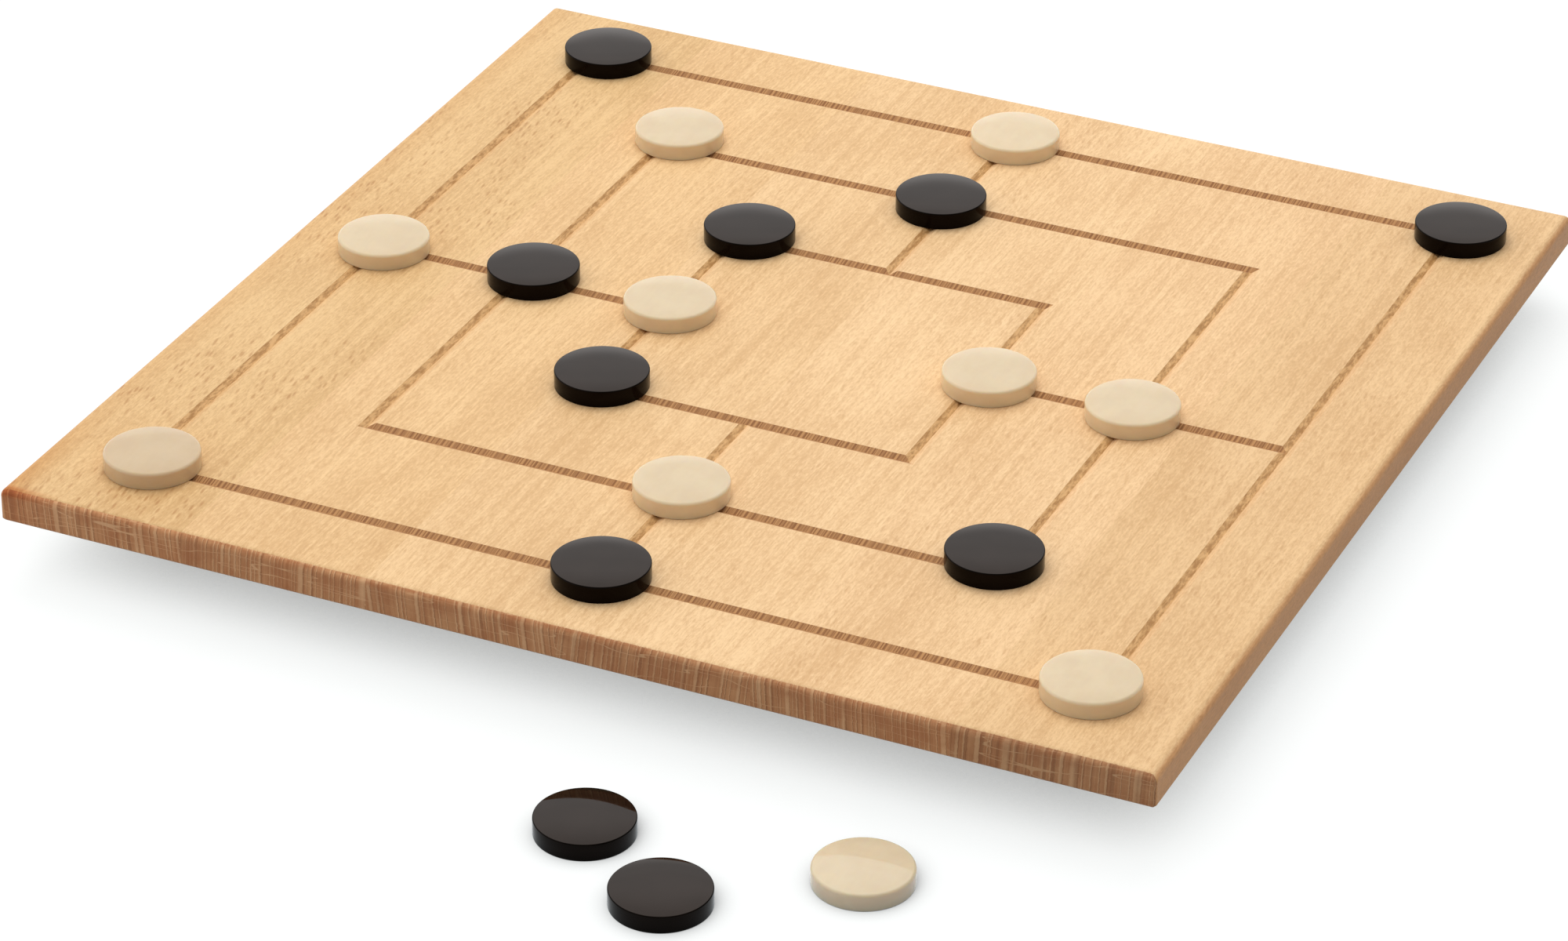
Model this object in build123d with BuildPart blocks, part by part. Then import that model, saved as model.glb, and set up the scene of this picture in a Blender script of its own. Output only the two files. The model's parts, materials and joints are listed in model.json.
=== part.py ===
from build123d import *
import os

# A nine men's morris set. A square beech board, glued up from staves and cut with the three nested
# squares of the game, is the lift-off lid of a shallow storage box set well in under its edges.
# Seventeen men stand on the board and three lie on the table in front of it.
# Millimetres, +Z up, +X to the right and +Y to the back of the board.
# The origin is on the table, under the middle of the box.

# ---- Board
board_side = 300.0
board_thickness = 8.8
stave_count = 6
board_corner_radius = 1.0
board_top_round = 2.0
board_under_chamfer = 0.6

# ---- Lines of the game: three nested squares, joined by a cross line in the middle of each side
inner_square = 87.0
square_pitch = 41.0
square_count = 3
line_width = 3.4
line_depth = 0.85

# ---- Storage box
box_inset = 40.0
box_height = 17.0
wall_thickness = 8.0
box_corner_radius = 2.0
box_edge_chamfer = 0.5
finger_count = 5
finger_clearance = 0.06
bottom_thickness = 4.0
bottom_rebate = 4.0
bottom_clearance = 0.3
divider_thickness = 5.0
divider_housing = 3.0
divider_clearance = 0.2
divider_headroom = 0.6

# ---- Battens that keep the board flat and locate it in the box, and their screws
batten_width = 14.0
batten_depth = 5.0
batten_clearance = 0.75
batten_lead_in = 1.5
screw_length = 10.0
screw_shank_radius = 1.4
screw_head_radius = 2.9
screw_tip = 1.8
screw_sink = 0.3
screw_clearance = 0.05

# ---- Men
man_diameter = 24.0
man_thickness = 5.0
man_edge_ease = 0.45
man_crown = 0.35

# ---- Worked out from the sizes above
board_underside = box_height
board_top = board_underside + board_thickness
board_half = board_side / 2
stave_width = board_side / stave_count
square_halves = [inner_square / 2 + index * square_pitch for index in range(square_count)]
inner_half, middle_half, outer_half = square_halves
box_side = board_side - 2 * box_inset
box_inside = box_side - 2 * wall_thickness
wall_middle = (box_side - wall_thickness) / 2
bottom_side = box_inside + 2 * (bottom_rebate - bottom_clearance)
finger_height = box_height / finger_count
batten_length = box_inside - 2 * batten_clearance
batten_offset = box_inside / 2 - batten_clearance - batten_width / 2
batten_underside = board_underside - batten_depth
man_radius = man_diameter / 2

os.makedirs("parts", exist_ok=True)


def save(part, label):
    part.label = label
    export_step(part, f"parts/{label}.step")


# ---- Board: one panel first, with its lines, rounded edges and pilot holes, then cut into staves

def line_section(plane):
    """The V of the cutter, carried on above the board's face so that it leaves a clean edge."""
    with BuildSketch(plane) as section:
        with BuildLine():
            Polyline(
                (0, -line_depth),
                (line_width, line_depth),
                (-line_width, line_depth),
                close=True,
            )
        make_face()
    return section.sketch


def screw_columns():
    """One screw in the middle of each stave that a batten reaches with its full head."""
    reach = batten_length / 2 - 2 * screw_head_radius
    middles = [-board_half + (index + 0.5) * stave_width for index in range(stave_count)]
    return [middle for middle in middles if abs(middle) < reach]


screw_places = [(x, side * batten_offset) for side in (-1, 1) for x in screw_columns()]

with BuildPart() as line_cutter:
    for half in square_halves:
        with BuildLine(Plane.XY.offset(board_top)) as square_path:
            Polyline(
                (0, -half), (half, -half), (half, half), (-half, half), (-half, -half), (0, -half)
            )
        square_start = Plane(origin=(0, -half, board_top), x_dir=(0, 1, 0), z_dir=(1, 0, 0))
        sweep(
            sections=line_section(square_start),
            path=square_path.wires()[0],
            transition=Transition.RIGHT,
        )
    for turn in range(4):
        cross_start = Plane(origin=(0, 0, board_top)).rotated((0, 0, 90 * turn))
        cross_plane = Plane(
            origin=cross_start.from_local_coords((square_halves[0], 0, 0)),
            x_dir=cross_start.y_dir,
            z_dir=cross_start.x_dir,
        )
        extrude(line_section(cross_plane), amount=square_halves[-1] - square_halves[0])

with BuildPart() as board:
    with BuildSketch(Plane.XY.offset(board_underside)):
        RectangleRounded(board_side, board_side, board_corner_radius)
    extrude(amount=board_thickness)
    fillet(board.faces().sort_by(Axis.Z)[-1].edges(), board_top_round)
    chamfer(board.faces().sort_by(Axis.Z)[0].edges(), board_under_chamfer)
    add(line_cutter.part, mode=Mode.SUBTRACT)
    with BuildSketch(Plane.XY.offset(board_underside)):
        with Locations(*screw_places):
            Circle(screw_shank_radius + screw_clearance)
    extrude(amount=screw_length + screw_sink + screw_clearance - batten_depth, mode=Mode.SUBTRACT)

for index in range(stave_count):
    with BuildPart() as stave:
        add(board.part)
        with BuildSketch(Plane.XY.offset(board_underside)):
            with Locations((-board_half + (index + 0.5) * stave_width, 0)):
                Rectangle(stave_width, board_side)
        extrude(amount=board_thickness, mode=Mode.INTERSECT)
    save(stave.part, f"board_stave_{index + 1}")

# ---- Battens: across the grain, close inside the front and back walls, with a lead-in chamfer

for name, side in (("front", -1), ("back", 1)):
    batten_face = Plane(
        origin=(0, side * batten_offset, batten_underside + screw_sink),
        z_dir=(0, 0, -1),
    )
    with BuildPart() as batten:
        with BuildSketch(Plane.XY.offset(batten_underside)):
            with Locations((0, side * batten_offset)):
                Rectangle(batten_length, batten_width)
        extrude(amount=batten_depth)
        chamfer(batten.faces().sort_by(Axis.Z)[0].edges(), batten_lead_in)
        with Locations(batten_face):
            with Locations(*[(x, 0) for x in screw_columns()]):
                CounterSinkHole(
                    radius=screw_shank_radius + screw_clearance,
                    counter_sink_radius=screw_head_radius + screw_clearance,
                )
    save(batten.part, f"batten_{name}")

with BuildPart() as screw:
    with BuildSketch(Plane.XZ):
        with BuildLine():
            Polyline(
                (0, 0),
                (screw_head_radius, 0),
                (screw_shank_radius, screw_head_radius - screw_shank_radius),
                (screw_shank_radius, screw_length - screw_tip),
                (0, screw_length),
                close=True,
            )
        make_face()
    revolve(axis=Axis.Z)

with BuildPart() as batten_screws:
    with Locations(*[(x, y, batten_underside + screw_sink) for x, y in screw_places]):
        add(screw.part)
save(batten_screws.part, "batten_screws")

# ---- Box: one frame first, with its rebate, housings and eased edges, then its four walls, which
# meet in finger joints: the front and back walls keep the even fingers, the side walls the odd ones

with BuildPart() as frame:
    with BuildSketch():
        RectangleRounded(box_side, box_side, box_corner_radius)
        Rectangle(box_inside, box_inside, mode=Mode.SUBTRACT)
    extrude(amount=box_height)
    outer_rims = frame.faces().filter_by(Axis.Z).edges().filter_by(
        lambda edge: max(abs(edge.center().X), abs(edge.center().Y)) > wall_middle
    )
    chamfer(outer_rims, box_edge_chamfer)
    with BuildSketch():
        Rectangle(box_inside + 2 * bottom_rebate, box_inside + 2 * bottom_rebate)
    extrude(amount=bottom_thickness, mode=Mode.SUBTRACT)
    with BuildSketch(Plane.XY.offset(bottom_thickness)):
        Rectangle(box_inside + 2 * divider_housing, divider_thickness)
    extrude(amount=box_height - bottom_thickness, mode=Mode.SUBTRACT)


def wall_blank(first_finger):
    """The front wall's share of the frame: the wall between its corners, and every other finger."""
    with BuildPart() as blank:
        with BuildSketch():
            with Locations((0, -wall_middle)):
                Rectangle(box_inside, wall_thickness)
        extrude(amount=box_height)
        for finger in range(first_finger, finger_count, 2):
            low = finger * finger_height + (finger_clearance / 2 if finger > 0 else 0)
            high = (finger + 1) * finger_height
            high -= finger_clearance / 2 if finger < finger_count - 1 else 0
            with BuildSketch(Plane.XY.offset(low)):
                with Locations((0, -wall_middle)):
                    Rectangle(box_side, wall_thickness)
            extrude(amount=high - low)
    return blank.part


for name, first_finger, turn in (
    ("front", 0, 0),
    ("right", 1, 90),
    ("back", 0, 180),
    ("left", 1, 270),
):
    with BuildPart() as wall:
        add(frame.part)
        add(wall_blank(first_finger), rotation=(0, 0, turn), mode=Mode.INTERSECT)
    save(wall.part, f"box_wall_{name}")

with BuildPart() as bottom:
    with BuildSketch():
        Rectangle(bottom_side, bottom_side)
    extrude(amount=bottom_thickness)
save(bottom.part, "box_bottom")

with BuildPart() as divider:
    with BuildSketch(Plane.XY.offset(bottom_thickness)):
        Rectangle(
            box_inside + 2 * divider_housing - 2 * divider_clearance,
            divider_thickness - 2 * divider_clearance,
        )
    extrude(amount=box_height - bottom_thickness - divider_headroom)
    fillet(divider.faces().sort_by(Axis.Z)[-1].edges().filter_by(Axis.X), divider_thickness / 4)
save(divider.part, "box_divider")

# ---- Men: flat discs with eased rims and a slightly crowned top

with BuildPart() as man:
    flat_radius = man_radius - man_edge_ease
    rim_height = man_thickness - man_crown
    crown_radius = (flat_radius**2 + man_crown**2) / (2 * man_crown)
    with BuildSketch(Plane.XZ):
        with BuildLine():
            Polyline(
                (0, man_thickness),
                (0, 0),
                (flat_radius, 0),
                (man_radius, man_edge_ease),
                (man_radius, rim_height - man_edge_ease),
                (flat_radius, rim_height),
            )
            RadiusArc((flat_radius, rim_height), (0, man_thickness), -crown_radius)
        make_face()
    revolve(axis=Axis.Z)

# Each man on the board: half the side of the square it stands on, the point's place round that
# square in steps of half a side, and how far it was set down from the point.
black_men = [
    (outer_half, (-1, 1), (5.0, -1.0)),
    (outer_half, (1, 1), (2.0, -0.5)),
    (outer_half, (0, -1), (0.0, 0.0)),
    (middle_half, (0, 1), (-2.0, -2.5)),
    (middle_half, (-1, 0), (3.0, 1.0)),
    (middle_half, (1, -1), (-3.0, 4.0)),
    (inner_half, (-1, 1), (3.0, 1.5)),
    (inner_half, (-1, -1), (2.5, 2.0)),
]
cream_men = [
    (outer_half, (0, 1), (1.5, -1.0)),
    (outer_half, (-1, 0), (1.5, -1.0)),
    (outer_half, (-1, -1), (3.5, 1.0)),
    (outer_half, (1, -1), (-2.0, 2.0)),
    (middle_half, (-1, 1), (3.0, 4.0)),
    (middle_half, (1, 0), (0.5, -0.5)),
    (middle_half, (0, -1), (0.5, 2.0)),
    (inner_half, (-1, 0), (1.5, 0.0)),
    (inner_half, (1, 0), (3.0, -0.5)),
]
# Each man on the table: how far right of the middle, and how far in front of the board's edge.
black_men_on_table = [(27.0, 39.5), (55.0, 58.0)]
cream_men_on_table = [(92.5, 31.0)]


def on_board(half, point, nudge):
    return (point[0] * half + nudge[0], point[1] * half + nudge[1], board_top)


for colour, standing, lying in (
    ("black", black_men, black_men_on_table),
    ("cream", cream_men, cream_men_on_table),
):
    places = [on_board(*place) for place in standing]
    places += [(right, -board_half - front, 0) for right, front in lying]
    for number, place in enumerate(places, start=1):
        with BuildPart() as placed_man:
            with Locations(place):
                add(man.part)
        save(placed_man.part, f"man_{colour}_{number}")
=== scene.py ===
import json
import math

import bmesh
import bpy
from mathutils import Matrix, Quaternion, Vector


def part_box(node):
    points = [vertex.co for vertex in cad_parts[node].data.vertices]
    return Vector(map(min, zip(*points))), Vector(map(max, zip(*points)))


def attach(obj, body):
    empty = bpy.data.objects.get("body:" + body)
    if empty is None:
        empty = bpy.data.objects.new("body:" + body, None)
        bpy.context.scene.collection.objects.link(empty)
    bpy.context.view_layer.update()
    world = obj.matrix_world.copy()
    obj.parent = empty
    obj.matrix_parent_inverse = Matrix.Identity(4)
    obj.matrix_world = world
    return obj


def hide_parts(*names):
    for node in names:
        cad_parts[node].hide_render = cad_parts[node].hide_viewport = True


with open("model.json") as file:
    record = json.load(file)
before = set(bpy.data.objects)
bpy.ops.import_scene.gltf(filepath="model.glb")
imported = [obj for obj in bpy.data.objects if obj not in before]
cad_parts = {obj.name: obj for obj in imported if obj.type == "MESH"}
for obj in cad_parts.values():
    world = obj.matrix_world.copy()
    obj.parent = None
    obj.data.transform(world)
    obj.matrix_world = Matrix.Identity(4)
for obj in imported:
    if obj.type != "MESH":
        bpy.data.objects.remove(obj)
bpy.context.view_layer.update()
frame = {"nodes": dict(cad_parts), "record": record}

# Looks of a nine men's morris set: a beech board cut with the lines of the game, lying as the lid of
# a shallow box, with ten black and ten cream men. Metres, in the frame of the CAD model.

MM = 0.001
nodes = frame["nodes"]
bodies = frame["record"]["behaviour"]["bodies"]

board_top = max(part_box(name)[1].z for name in bodies["board"])


# ---- Node trees

def tone(red, green, blue):
    """A colour as it looks on a screen, 0 to 255, as the linear values that Blender takes."""
    linear = [((v / 255 + 0.055) / 1.055) ** 2.4 if v > 10 else v / 255 / 12.92 for v in (red, green, blue)]
    return (*linear, 1.0)


def tinted(colour, by):
    return tuple(value * factor for value, factor in zip(colour, by))


def shaded(colour, factor):
    return tinted(colour, (factor, factor, factor, 1.0))


class Finish:
    """One material. Each method adds a node and returns its output; values may be numbers or outputs."""

    def __init__(self, name):
        self.material = bpy.data.materials.new(name)
        self.material.use_nodes = True
        self.tree = self.material.node_tree
        self.surface = self.tree.nodes["Principled BSDF"]

    def node(self, kind, inputs, **settings):
        made = self.tree.nodes.new("ShaderNode" + kind)
        for setting, value in settings.items():
            setattr(made, setting, value)
        for key, value in inputs.items():
            self.feed(made.inputs[key], value)
        return made

    def feed(self, socket, value):
        if isinstance(value, bpy.types.NodeSocket):
            self.tree.links.new(value, socket)
        else:
            socket.default_value = value

    def place(self):
        """Where a point is on the piece, in millimetres."""
        spot = self.node("TexCoord", {}).outputs["Object"]
        return self.node("VectorMath", {0: spot, 1: (1 / MM,) * 3}, operation="MULTIPLY").outputs[0]

    def facing(self):
        return self.node("TexCoord", {}).outputs["Normal"]

    def split(self, vector):
        return self.node("SeparateXYZ", {0: vector}).outputs

    def join(self, x, y, z):
        return self.node("CombineXYZ", {0: x, 1: y, 2: z}).outputs[0]

    def stretch(self, vector, scale, shift=(0, 0, 0)):
        inputs = {0: vector, 1: scale, 2: shift}
        return self.node("VectorMath", inputs, operation="MULTIPLY_ADD").outputs[0]

    def calc(self, operation, a, b=0.0, clamp=False):
        made = self.node("Math", {0: a, 1: b}, operation=operation, use_clamp=clamp)
        return made.outputs[0]

    def total(self, *terms):
        """The sum of terms, each an output or a number and its weight."""
        result = 0.0
        for value, weight in terms:
            inputs = {0: value, 1: weight, 2: result}
            result = self.node("Math", inputs, operation="MULTIPLY_ADD").outputs[0]
        return result

    def ramp(self, value, low, high, start=0.0, end=1.0):
        inputs = {"Value": value, "From Min": low, "From Max": high, "To Min": start, "To Max": end}
        return self.node("MapRange", inputs, interpolation_type="SMOOTHSTEP").outputs[0]

    def noise(self, vector, detail=2.0, roughness=0.5):
        inputs = {"Vector": vector, "Scale": 1.0, "Detail": detail, "Roughness": roughness}
        return self.node("TexNoise", inputs).outputs["Fac"]

    def bands(self, value, detail=2.0, roughness=0.5):
        """Noise along one number: irregular bands."""
        inputs = {"W": value, "Scale": 1.0, "Detail": detail, "Roughness": roughness}
        return self.node("TexNoise", inputs, noise_dimensions="1D").outputs["Fac"]

    def cells(self, vector):
        """Distance from the middle of the nearest of many scattered cells."""
        return self.node("TexVoronoi", {"Vector": vector, "Scale": 1.0}).outputs["Distance"]

    def mix(self, factor, a, b):
        made = self.node("Mix", {}, data_type="RGBA")
        self.feed(made.inputs["Factor"], factor)
        self.feed(made.inputs[6], a)
        self.feed(made.inputs[7], b)
        return made.outputs[2]

    def tint(self, colour, by):
        made = self.node("Mix", {}, data_type="RGBA", blend_type="MULTIPLY")
        self.feed(made.inputs["Factor"], 1.0)
        self.feed(made.inputs[6], colour)
        self.feed(made.inputs[7], by)
        return made.outputs[2]

    def bump(self, height, strength, depth):
        inputs = {"Height": height, "Strength": strength, "Distance": depth}
        return self.node("Bump", inputs).outputs[0]

    def set(self, **inputs):
        """Sets the surface shader's own sockets, named with underscores for spaces."""
        for key, value in inputs.items():
            self.feed(self.surface.inputs[key.replace("_", " ")], value)


# ---- Wood: a solid pattern, so that a stave's face, edges and end grain belong together

fleck_tone = tone(184, 128, 74)


def wood(
    name, seed, light, dark, end_light, end_dark, end_line,
    grain="Y", pitch=2.2, slant=0.0, flecks=0.5, side_tint=(1.0, 1.0, 1.0, 1.0), board=False, stained=False,
):
    """Beech. pitch is the spacing of the growth rings in mm, and slant their lean in the end grain. A
    stained stave is browner towards the board's front left corner. Places in here are in mm."""
    finish = Finish(name)
    x, y, z = finish.split(finish.place())
    facing_x, facing_y, facing_z = finish.split(finish.facing())
    if grain == "X":
        x, y = y, x
        facing_x, facing_y = facing_y, facing_x
    along = finish.join(x, finish.calc("ADD", y, seed * 311.0), z)

    sway = finish.noise(finish.stretch(along, (0.025, 0.006, 0.004)))
    lean = finish.calc("MULTIPLY", z, slant)
    across = finish.calc("ADD", finish.calc("ADD", x, lean), finish.calc("MULTIPLY", sway, 9.0))
    rings = finish.bands(finish.calc("ADD", finish.calc("DIVIDE", across, pitch), seed * 57.0), 3.0, 0.6)
    fibre = finish.noise(finish.stretch(along, (2.3, 0.16, 2.3)), 4.0, 0.65)
    mottle = finish.noise(finish.stretch(along, (1.6, 0.6, 1.6), (seed * 5.0, 0, 0)), 4.0, 0.75)
    cloud = finish.noise(finish.stretch(along, (0.05, 0.02, 0.1)), 2.0)
    share = finish.total((rings, 0.36), (fibre, 0.72), (mottle, 0.95), (cloud, 0.5))
    face = finish.mix(finish.ramp(share, 0.98, 1.55), dark, light)

    # Rays, cut lengthwise: short brown flecks, crowded in places, and fine pores between them
    drift = finish.join(finish.total((x, 1.0), (sway, 3.0), (y, 0.12)), y, z)
    crowd = finish.ramp(finish.noise(finish.stretch(along, (0.05, 0.02, 0.05), (40, 0, 0))), 0.35, 0.65)
    ray = finish.cells(finish.stretch(drift, (0.75, 0.18, 0.75), (seed * 13.0, seed * 7.0, 0)))
    ray = finish.calc("MULTIPLY", finish.ramp(ray, 0.4, 0.1), crowd)
    pore = finish.ramp(finish.cells(finish.stretch(drift, (1.9, 0.7, 1.9), (seed * 3.0, 0, 0))), 0.3, 0.12)
    face = finish.mix(finish.calc("MULTIPLY", pore, flecks * 0.3), face, fleck_tone)
    face = finish.mix(finish.calc("MULTIPLY", ray, 1.3 * flecks), face, fleck_tone)
    side = finish.ramp(finish.calc("ABSOLUTE", facing_x), 0.3, 0.9)
    face = finish.mix(side, face, finish.tint(face, side_tint))

    # End grain: fine light lines, one to a growth ring, each with a painted shadow beside it, on reddish
    # brown, and a few long hairlines
    upright = finish.total((x, 1.0), (lean, 1.0), (sway, 3.0), (finish.noise(along), 0.5))
    stripes = finish.bands(finish.total((upright, 1.3), (1.0, seed * 91.0)), 3.0, 0.6)
    shades = finish.noise(finish.stretch(along, (0.12, 1.0, 0.12)), 3.0)
    tones = finish.total((stripes, 0.5), (shades, 0.8))
    cut = finish.mix(finish.ramp(tones, 0.4, 0.9), end_dark, end_light)
    jitter = finish.bands(finish.total((upright, 0.3), (1.0, seed * 91.0)))
    turn = finish.total((upright, math.tau / (0.8 * pitch)), (jitter, 14.0))
    strength = finish.ramp(shades, 0.3, 0.6, 0.35, 1.0)
    # Painted shadow: a dark line beside each ring line, as if the ring stood up in relief
    ring_shadow = finish.ramp(finish.calc("SINE", finish.calc("SUBTRACT", turn, 1.1)), 0.4, 1.0)
    shadow = finish.tint(cut, (0.72, 0.66, 0.62, 1.0))
    cut = finish.mix(finish.calc("MULTIPLY", ring_shadow, strength), cut, shadow)
    ring = finish.calc("MULTIPLY", finish.ramp(finish.calc("SINE", turn), 0.5, 1.0), strength)
    drawn = finish.noise(finish.stretch(along, (0.025, 1.0, 0.3), (0, 0, seed * 3.0)), 1.0)
    hairline = finish.ramp(finish.calc("ABSOLUTE", finish.calc("SUBTRACT", drawn, 0.5)), 0.007, 0.002)
    cut = finish.mix(finish.calc("MULTIPLY", finish.calc("MAXIMUM", ring, hairline), 0.65), cut, end_line)
    ragged = finish.total((finish.calc("ABSOLUTE", facing_y), 1.0), (stripes, 0.2))
    colour = finish.mix(finish.ramp(ragged, 0.52, 0.64), face, cut)

    if stained:
        # Strongest on what faces up: along the left edge, and on the front edge near the corner
        upward = finish.ramp(facing_z, -0.1, 0.4, 0.3, 1.0)
        left = finish.calc("MULTIPLY", finish.ramp(x, -140, -151), finish.ramp(y, -100, -150, 0.25, 1.0))
        left = finish.calc("MULTIPLY", left, upward)
        colour = finish.mix(left, colour, finish.tint(colour, (0.86, 0.66, 0.44, 1.0)))
        front = finish.calc("MULTIPLY", finish.ramp(x, -132, -147), finish.ramp(y, -146.5, -148.5))
        front = finish.calc("MULTIPLY", front, upward)
        colour = finish.mix(front, colour, finish.tint(colour, (0.84, 0.6, 0.46, 1.0)))
    if board:
        colour = groove_walls(finish, colour, face, (x, y, z), (facing_x, facing_y, facing_z))
    height = finish.total((fibre, 0.6), (mottle, 0.6), (pore, -0.4), (ray, -0.4))
    finish.set(
        Base_Color=colour,
        Roughness=finish.ramp(fibre, 0.3, 0.7, 0.5, 0.62),
        Normal=finish.bump(height, 0.5, 0.12 * MM),
        Specular_IOR_Level=0.35,
    )
    return finish.material


groove_reach = 130  # mm: the lines lie within this distance of the board's middle, its edges outside it


def groove_walls(finish, colour, face, place, facing):
    """The lines of the game. Across the grain the cutter tears the fibres: dark, hatched walls. Along it
    the wall that faces right gets painted shade, brown in patches, and the wall that faces left keeps the
    board's colour."""
    x, y, z = place
    facing_x, facing_y, facing_z = facing
    reach = finish.calc("MAXIMUM", finish.calc("ABSOLUTE", x), finish.calc("ABSOLUTE", y))
    inside = finish.calc("LESS_THAN", reach, groove_reach)
    slope = finish.calc("MULTIPLY", finish.ramp(facing_z, 0.97, 0.93), finish.ramp(facing_z, 0.4, 0.6))
    wall = finish.calc("MULTIPLY", inside, slope)
    hatch = finish.bands(finish.total((x, 1.5), (y, -0.3)), 2.0, 0.6)
    across_grain = finish.mix(finish.ramp(hatch, 0.36, 0.64), tone(154, 104, 62), tone(206, 154, 100))
    # Painted shade along the grain: the wall that faces right is painted brown in patches
    patches = finish.noise(finish.stretch(finish.join(x, y, z), (1.2, 0.3, 1.2)), 3.0, 0.7)
    along_grain_painted_shade = finish.mix(finish.ramp(patches, 0.35, 0.65), tone(182, 134, 80), tone(230, 184, 126))
    along_grain_painted_shade = finish.mix(finish.ramp(facing_x, 0.1, -0.1), along_grain_painted_shade, face)
    crossing = finish.calc("GREATER_THAN", finish.calc("ABSOLUTE", facing_y), 0.3)
    return finish.mix(wall, colour, finish.mix(crossing, along_grain_painted_shade, across_grain))


# ---- Men

def black_finish(name, ior, smooth, rough, shade):
    """Polished black: almost all of what it shows is its reflection, over faint swirls. Its roughness
    goes from smooth to rough, and shade makes its own colour darker."""
    finish = Finish(name)
    place = finish.place()
    swirl = finish.noise(finish.stretch(place, (0.12, 0.12, 0.3)), 3.0)
    smears = finish.noise(finish.stretch(place, (0.9, 0.25, 0.9)), 4.0, 0.6)
    deep, pale = shaded(tone(10, 7, 5), shade), shaded(tone(20, 15, 12), shade)
    finish.set(
        Base_Color=finish.mix(finish.ramp(swirl, 0.3, 0.7), deep, pale),
        Roughness=finish.ramp(smears, 0.35, 0.75, smooth, rough),
        Normal=finish.bump(swirl, 0.03, 0.05 * MM),
        IOR=ior,
        Specular_Tint=(1.0, 0.77, 0.66, 1.0),
    )
    return finish.material


def cream_finish(name, tint):
    """Cream, slightly cloudy and a little translucent, with a soft polish."""
    finish = Finish(name)
    place = finish.place()
    cloud = finish.noise(finish.stretch(place, (0.14, 0.14, 0.3)), 3.0, 0.55)
    streak = finish.noise(finish.stretch(place, (0.5, 0.09, 0.5)), 3.0, 0.6)
    share = finish.total((cloud, 0.7), (streak, 0.3))
    deep, pale = tinted(tone(226, 204, 169), tint), tinted(tone(231, 211, 176), tint)
    finish.set(
        Base_Color=finish.mix(finish.ramp(share, 0.3, 0.7), deep, pale),
        Roughness=finish.ramp(streak, 0.3, 0.7, 0.025, 0.055),
        Normal=finish.bump(cloud, 0.03, 0.05 * MM),
        Subsurface_Weight=0.6,
        Subsurface_Radius=(2.0, 1.4, 0.8),
        Subsurface_Scale=1.3 * MM,
        IOR=1.46,
        Specular_IOR_Level=0.75,
    )
    return finish.material


def steel_finish():
    finish = Finish("steel")
    place = finish.place()
    brush = finish.noise(finish.stretch(place, (3.0, 3.0, 0.4)), 3.0, 0.6)
    finish.set(
        Base_Color=finish.mix(brush, tone(150, 152, 154), tone(205, 206, 208)),
        Metallic=1.0,
        Roughness=finish.ramp(brush, 0.3, 0.7, 0.25, 0.45),
    )
    return finish.material


def lathe_profile(radius, thickness, crown, rim, foot):
    """Half the section of a man, from the middle of its foot round to the middle of its crown."""
    rim_steps, crown_steps = 6, 10
    quarter_turns = [math.pi / 2 * step / rim_steps for step in range(rim_steps + 1)]
    middle_fall, outer_fall = 0.6, 0.4  # of the crown's height: it is flatter in its middle
    crown_span = radius - rim
    points = [(0, 0), (radius - foot, 0)]
    points += [
        (radius - foot + foot * math.sin(turn), foot - foot * math.cos(turn)) for turn in quarter_turns[1:]
    ]
    rim_top = thickness - crown
    points += [
        (crown_span + rim * math.cos(turn), rim_top - rim + rim * math.sin(turn)) for turn in quarter_turns
    ]
    points += [
        (crown_span * reach, rim_top + crown * (1 - middle_fall * reach**2 - outer_fall * reach**4))
        for reach in (1 - step / crown_steps for step in range(1, crown_steps + 1))
    ]
    return points


def lathe(name, profile, centre, sides=96):
    """A solid of revolution that stands on centre. Its faces that look up or down have its first
    material, and the rest have its second."""
    level = 0.985  # the least vertical share of such a face's normal
    rings = [point for point in profile if point[0] > 0]
    vertices = [
        (
            centre.x + reach * math.cos(2 * math.pi * side / sides),
            centre.y + reach * math.sin(2 * math.pi * side / sides),
            centre.z + height,
        )
        for reach, height in rings
        for side in range(sides)
    ]
    bottom, top = len(vertices), len(vertices) + 1
    vertices += [(centre.x, centre.y, centre.z + height) for height in (profile[0][1], profile[-1][1])]
    faces = []
    for side in range(sides):
        after = (side + 1) % sides
        faces.append((bottom, after, side))
        for ring in range(len(rings) - 1):
            low, high = ring * sides, (ring + 1) * sides
            faces.append((low + side, low + after, high + after, high + side))
        last = (len(rings) - 1) * sides
        faces.append((last + side, last + after, top))
    mesh = bpy.data.meshes.new(name)
    mesh.from_pydata(vertices, [], faces)
    mesh.shade_smooth()
    for face in mesh.polygons:
        face.material_index = 1 if abs(face.normal.z) < level else 0
    made = bpy.data.objects.new(name, mesh)
    bpy.context.scene.collection.objects.link(made)
    return made


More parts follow.
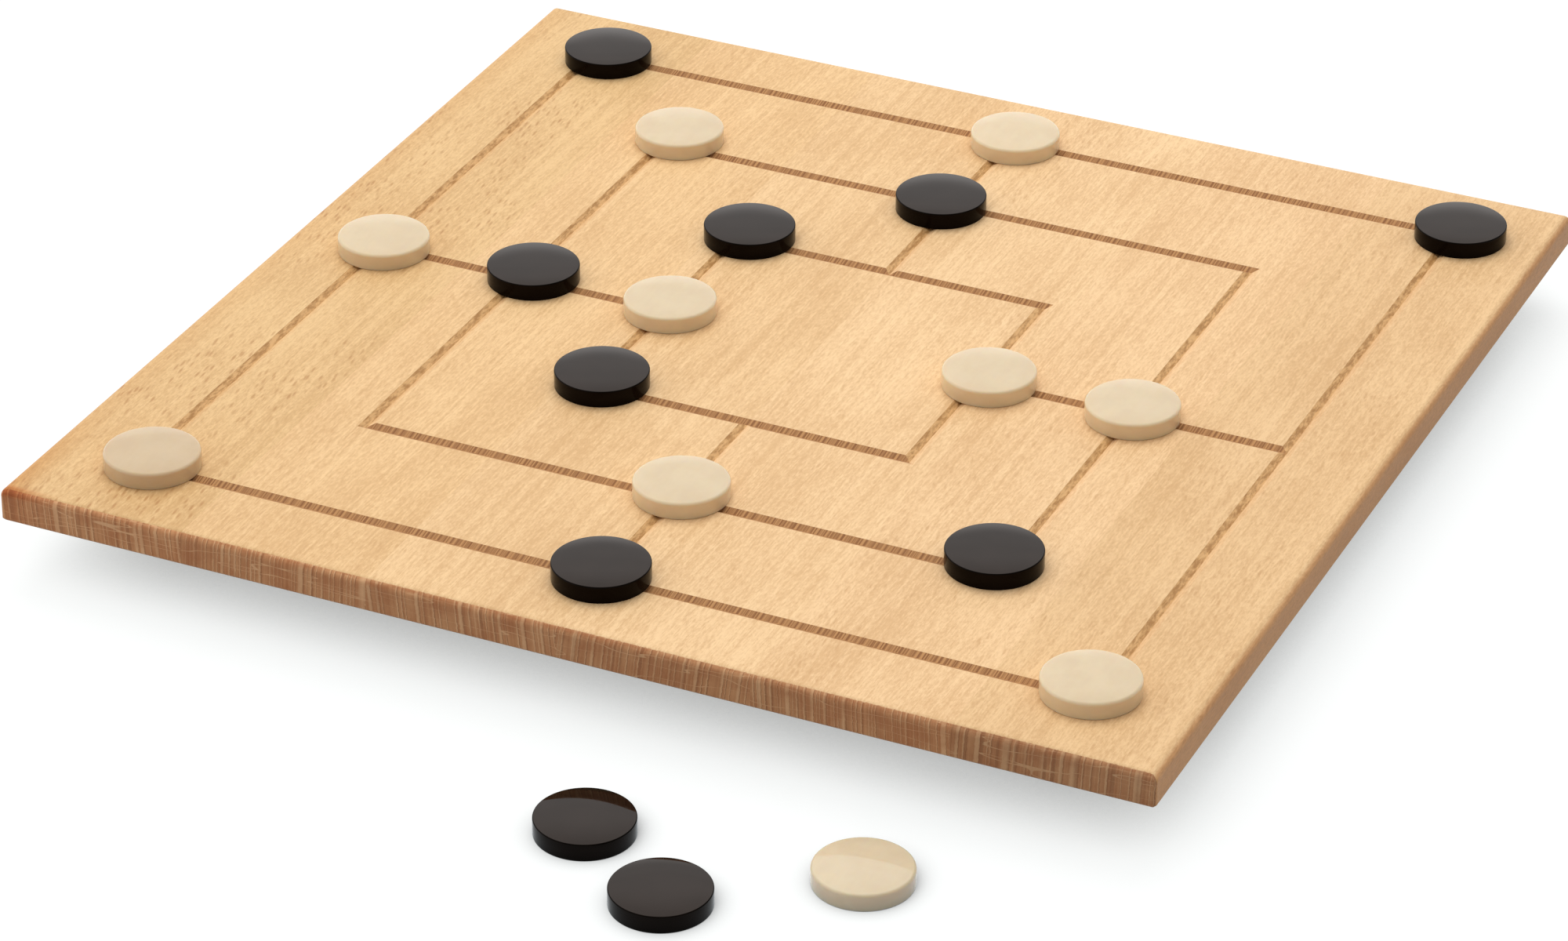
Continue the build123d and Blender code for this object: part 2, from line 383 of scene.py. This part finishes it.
def make_men():
    # The faces' finish, and for the sides a darker, rougher and less reflective copy of it: painted shade
    black = (
        black_finish("black_face", ior=1.5, smooth=0.03, rough=0.07, shade=1.0),
        black_finish("black_side_painted_shade", ior=1.15, smooth=0.12, rough=0.2, shade=0.6),
    )
    crown = 0.56 * MM
    rims_and_feet = {"black": (0.3 * MM, 0.2 * MM), "cream": (0.8 * MM, 0.25 * MM)}
    # The cream men that differ from the rest: man_cream_1 is a little lighter and man_cream_3 darker.
    # man_cream_10, which stands on the table, is painted lighter and cooler: painted light.
    tones_and_painted_light = {
        "man_cream_1": (1.04, 1.04, 1.04, 1.0),
        "man_cream_3": (0.89, 0.84, 0.8, 1.0),
        "man_cream_10": (1.04, 1.07, 1.12, 1.0),
    }
    for node in [name for name in nodes if name.startswith("man_")]:
        colour = node.split("_")[1]
        low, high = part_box(node)
        rim, foot = rims_and_feet[colour]
        profile = lathe_profile((high.x - low.x) / 2, high.z - low.z, crown, rim, foot)
        centre = Vector(((low.x + high.x) / 2, (low.y + high.y) / 2, low.z))
        man = lathe(node + "_turned", profile, centre)
        if colour == "black":
            finishes = black
        else:
            finishes = [cream_finish(node + "_cream", tones_and_painted_light.get(node, (1.0, 1.0, 1.0, 1.0)))] * 2
        for finish in finishes:
            man.data.materials.append(finish)
        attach(man, node)
        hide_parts(node)


# ---- Screws

def add_screw(mesh, foot, head_radius, length):
    """Adds one wood screw, head down on foot: a countersunk head with a cross recess, and a thread."""
    sides, shank, core = 32, 1.4 * MM, 1.0 * MM
    arm, half_width, recess_depth, recess_taper = 1.7 * MM, 0.36 * MM, 1.1 * MM, 0.4
    pitch, plain_until, tip = 1.4 * MM, 2.6 * MM, 1.8 * MM
    steps_a_pitch = 8
    crest_share = 0.25  # half a crest's foot, as a share of the pitch

    def ring(radius_at, height):
        turns = [math.tau * side / sides for side in range(sides)]
        spots = [(radius_at(turn) * math.cos(turn), radius_at(turn) * math.sin(turn)) for turn in turns]
        return [mesh.verts.new(foot + Vector((x, y, height))) for x, y in spots]

    def thread(height):
        narrowing = min(1.0, (length - height) / tip)

        def radius_at(turn):
            phase = (height / pitch - turn / math.tau) % 1.0
            crest = max(0.0, 1.0 - abs(phase - 0.5) / crest_share)
            return (core + (shank - core) * crest) * narrowing

        return radius_at

    def cross(scale, height):
        loop = []
        for quarter in range(4):
            for x, y in ((arm, -half_width), (arm, half_width), (half_width, half_width)):
                spot = Vector((x * scale, y * scale, height))
                spot.rotate(Quaternion((0, 0, 1), quarter * math.pi / 2))
                loop.append(mesh.verts.new(foot + spot))
        return loop

    def bridge(one, other):
        for here in range(len(one)):
            there = (here + 1) % len(one)
            mesh.faces.new((one[here], one[there], other[there], other[here]))

    rings = [ring(lambda turn: head_radius, 0), ring(lambda turn: shank, head_radius - shank)]
    rings.append(ring(lambda turn: shank, plain_until))
    step = pitch / steps_a_pitch
    for number in range(1, int((length - plain_until) / step)):
        height = plain_until + number * step
        rings.append(ring(thread(height), height))
    for one, other in zip(rings, rings[1:]):
        bridge(one, other)
    mesh.faces.new(rings[-1])
    mouth, recess_floor = cross(1.0, 0), cross(recess_taper, recess_depth)
    bridge(mouth, recess_floor)
    mesh.faces.new(recess_floor)
    around = [mesh.edges.get((loop[i - 1], loop[i])) for loop in (rings[0], mouth) for i in range(len(loop))]
    bmesh.ops.triangle_fill(mesh, use_beauty=True, edges=around)


def make_screws():
    """The battens' screws, one in the middle of each stave that a batten reaches."""
    low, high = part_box("batten_screws")
    staves = [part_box(name) for name in nodes if name.startswith("board_stave")]
    middles = [(start.x + end.x) / 2 for start, end in staves]
    columns = [middle for middle in middles if low.x < middle < high.x]
    mesh = bmesh.new()
    for batten in ("batten_front", "batten_back"):
        start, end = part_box(batten)
        for column in columns:
            foot = Vector((column, (start.y + end.y) / 2, low.z))
            add_screw(mesh, foot, high.x - max(columns), high.z - low.z)
    bmesh.ops.recalc_face_normals(mesh, faces=mesh.faces)
    data = bpy.data.meshes.new("screws")
    mesh.to_mesh(data)
    mesh.free()
    screws = bpy.data.objects.new("batten_screws_cut", data)
    bpy.context.scene.collection.objects.link(screws)
    data.materials.append(steel_finish())
    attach(screws, "board")
    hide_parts("batten_screws")


# ---- The board and the box

def dress(node, material):
    nodes[node].data.materials.clear()
    nodes[node].data.materials.append(material)


stave_looks = [
    # rings' pitch, lean in the end grain, flecks, tint of the face, shade of the end grain
    (2.4, 0.08, 0.46, (0.97, 0.945, 0.87, 1.0), 1.08),
    (1.9, -0.05, 0.16, (1.04, 1.02, 0.99, 1.0), 1.03),
    (2.6, 0.10, 0.16, (1.05, 1.04, 1.04, 1.0), 0.97),
    (2.2, -0.12, 0.18, (1.08, 1.08, 1.11, 1.0), 0.94),
    (1.8, 0.05, 0.18, (1.07, 1.06, 1.09, 1.0), 0.92),
    (2.9, -0.05, 0.2, (0.99, 0.965, 0.95, 1.0), 0.78),
]
for number, (pitch, slant, flecks, tint, end_shade) in enumerate(stave_looks, start=1):
    dress(
        f"board_stave_{number}",
        wood(
            f"board_wood_{number}",
            seed=number,
            light=tinted(tone(245, 208, 157), tint),
            dark=tinted(tone(220, 178, 126), tint),
            end_light=shaded(tone(222, 162, 112), end_shade),
            end_dark=shaded(tone(188, 120, 74), end_shade),
            end_line=shaded(tone(248, 198, 148), end_shade),
            pitch=pitch,
            slant=slant,
            flecks=flecks,
            side_tint=(0.92, 0.72, 0.58, 1.0),
            board=True,
            stained=number == 1,
        ),
    )

plain = dict(
    light=tone(232, 196, 150),
    dark=tone(208, 166, 120),
    end_light=tone(196, 154, 116),
    end_dark=tone(150, 108, 76),
    end_line=tone(216, 178, 138),
)
for number, (node, grain) in enumerate(
    [
        ("box_wall_front", "X"),
        ("box_wall_right", "Y"),
        ("box_wall_back", "X"),
        ("box_wall_left", "Y"),
        ("box_divider", "X"),
        ("batten_front", "X"),
        ("batten_back", "X"),
        ("box_bottom", "Y"),
    ],
    start=11,
):
    dress(node, wood(node + "_wood", seed=number, grain=grain, **plain))
make_screws()
make_men()


# ---- Stage

def make_floor():
    """A wide white table. Seen in a mirror it is white, and it hardly throws light back on the object.
    The camera sees a white glow with a painted shadow, and some real shadow. The painted shadow darkens the
    glow with the square of how much of the light from above and in front the object hides, and once more
    right at its foot."""
    half, drop = 6.0, 0.05 * MM  # it lies just under the object, so that no two faces coincide
    wide_reach, foot_reach = 40 * MM, 8 * MM
    open_level = 0.914  # how open the table still is where the photo's shadow begins
    full_glow, least_glow, wide_loss, foot_loss = 0.865, 0.18, -1.45, -0.6

    mesh = bpy.data.meshes.new("floor")
    corners = [(-half, -half, -drop), (half, -half, -drop), (half, half, -drop), (-half, half, -drop)]
    mesh.from_pydata(corners, [], [(0, 1, 2, 3)])
    floor = bpy.data.objects.new("floor", mesh)
    bpy.context.scene.collection.objects.link(floor)

    finish = Finish("floor")
    finish.set(Base_Color=(0.35, 0.35, 0.35, 1.0), Roughness=0.9, Specular_IOR_Level=0.0)
    path = finish.node("LightPath", {}).outputs
    seen = finish.node("BsdfDiffuse", {"Color": (0.8, 0.8, 0.8, 1.0)})
    lift = finish.node("Emission", {"Color": (0.78, 0.92, 1.0, 1.0), "Strength": 0.36})
    mirrored = finish.node("AddShader", {0: seen.outputs[0], 1: lift.outputs[0]})
    mirror_rays = finish.calc("MAXIMUM", path["Is Glossy Ray"], path["Is Transmission Ray"])
    either = {0: mirror_rays, 1: finish.surface.outputs[0], 2: mirrored.outputs[0]}
    unseen = finish.node("MixShader", either)

    # Painted shadow in the glow: darker where the object hides the light from above and in front, and at its
    # foot
    towards_front = finish.join(-0.12, -0.62, 0.77)
    wide = finish.node("AmbientOcclusion", {"Distance": wide_reach, "Normal": towards_front}).outputs["AO"]
    foot = finish.node("AmbientOcclusion", {"Distance": foot_reach}).outputs["AO"]
    painted_shadow_depth = finish.calc("SUBTRACT", open_level, wide, clamp=True)
    foot_painted_shadow = finish.calc("SUBTRACT", 1.0, foot)
    open_share = finish.total((1.0, full_glow), (finish.calc("MULTIPLY", painted_shadow_depth, painted_shadow_depth), wide_loss))
    open_share = finish.calc("MAXIMUM", open_share, least_glow)
    glow = finish.calc("MULTIPLY", open_share, finish.total((1.0, 1.0), (foot_painted_shadow, foot_loss)))
    white = finish.node("Emission", {"Color": (0.98, 1.0, 0.995, 1.0), "Strength": glow})
    shaded_floor = finish.node("BsdfDiffuse", {"Color": (0.2, 0.2, 0.2, 1.0)})
    pictured = finish.node("AddShader", {0: white.outputs[0], 1: shaded_floor.outputs[0]})
    either = {0: path["Is Camera Ray"], 1: unseen.outputs[0], 2: pictured.outputs[0]}
    choice = finish.node("MixShader", either)
    finish.tree.links.new(choice.outputs[0], finish.tree.nodes["Material Output"].inputs["Surface"])
    mesh.materials.append(finish.material)


def make_world():
    """A white studio: bright low down at the back left, dim low down at the front right, even overhead."""
    back_heights = [(0.0, 1.1), (0.3, 1.1), (0.43, 0.78), (0.5, 0.84), (0.58, 0.94), (0.9, 0.8)]
    front_heights = [(0.0, 0.2), (0.3, 0.22), (0.65, 0.58), (0.9, 0.75)]
    turnover = 0.5  # how far to each side of the middle the front fades into the back

    world = bpy.data.worlds.new("studio")
    world.use_nodes = True
    bpy.context.scene.world = world
    tree = world.node_tree
    ray = tree.nodes.new("ShaderNodeTexCoord").outputs["Generated"]
    parts = tree.nodes.new("ShaderNodeSeparateXYZ")
    tree.links.new(ray, parts.inputs[0])

    def heights(stops):
        ramp = tree.nodes.new("ShaderNodeValToRGB")
        ramp.color_ramp.interpolation = "EASE"
        while len(ramp.color_ramp.elements) < len(stops):
            ramp.color_ramp.elements.new(0.5)
        for element, (height, strength) in zip(ramp.color_ramp.elements, stops):
            element.position = height
            element.color = (strength, strength, strength, 1.0)
        tree.links.new(parts.outputs["Z"], ramp.inputs[0])
        return ramp.outputs[0]

    towards_back = tree.nodes.new("ShaderNodeVectorMath")
    towards_back.operation = "DOT_PRODUCT"
    towards_back.inputs[1].default_value = (-0.85, 0.5, 0.0)
    tree.links.new(ray, towards_back.inputs[0])
    share = tree.nodes.new("ShaderNodeMapRange")
    share.interpolation_type = "SMOOTHSTEP"
    share.inputs["From Min"].default_value = -turnover
    share.inputs["From Max"].default_value = turnover
    tree.links.new(towards_back.outputs["Value"], share.inputs["Value"])
    both = tree.nodes.new("ShaderNodeMix")
    both.data_type = "RGBA"
    tree.links.new(share.outputs[0], both.inputs["Factor"])
    tree.links.new(heights(front_heights), both.inputs[6])
    tree.links.new(heights(back_heights), both.inputs[7])
    tree.links.new(both.outputs[2], tree.nodes["Background"].inputs["Color"])


def make_lamp(name, azimuth, elevation, distance, size, power):
    """A square soft box, aimed at the board. Azimuth 0 stands in front, 90 to the right."""
    turn, rise = math.radians(azimuth), math.radians(elevation)
    towards = Vector((math.sin(turn) * math.cos(rise), -math.cos(turn) * math.cos(rise), math.sin(rise)))
    lamp = bpy.data.lights.new(name, "AREA")
    lamp.shape = "SQUARE"
    lamp.size = size
    lamp.energy = power
    made = bpy.data.objects.new(name, lamp)
    made.location = Vector((0, 0, board_top)) + towards * distance
    made.rotation_mode = "QUATERNION"
    made.rotation_quaternion = (-towards).to_track_quat("-Z", "Y")
    made.visible_glossy = False
    bpy.context.scene.collection.objects.link(made)


def make_camera():
    """Fitted to the photograph's grooves and men."""
    place = Vector((0.5217, -1.1734, 0.7313))
    aim = Vector((0.018, -0.0613, board_top))
    roll = math.radians(0.417)
    data = bpy.data.cameras.new("camera")
    data.sensor_width = 36.0
    data.lens = 133.04
    camera = bpy.data.objects.new("camera", data)
    camera.location = place
    camera.rotation_mode = "QUATERNION"
    camera.rotation_quaternion = (aim - place).to_track_quat("-Z", "Y") @ Quaternion((0, 0, 1), roll)
    bpy.context.scene.collection.objects.link(camera)
    bpy.context.scene.camera = camera


make_floor()
make_world()
make_lamp("key", azimuth=-150, elevation=68, distance=2.2, size=1.6, power=20.6)
make_camera()
bpy.context.scene.view_settings.view_transform = "Standard"
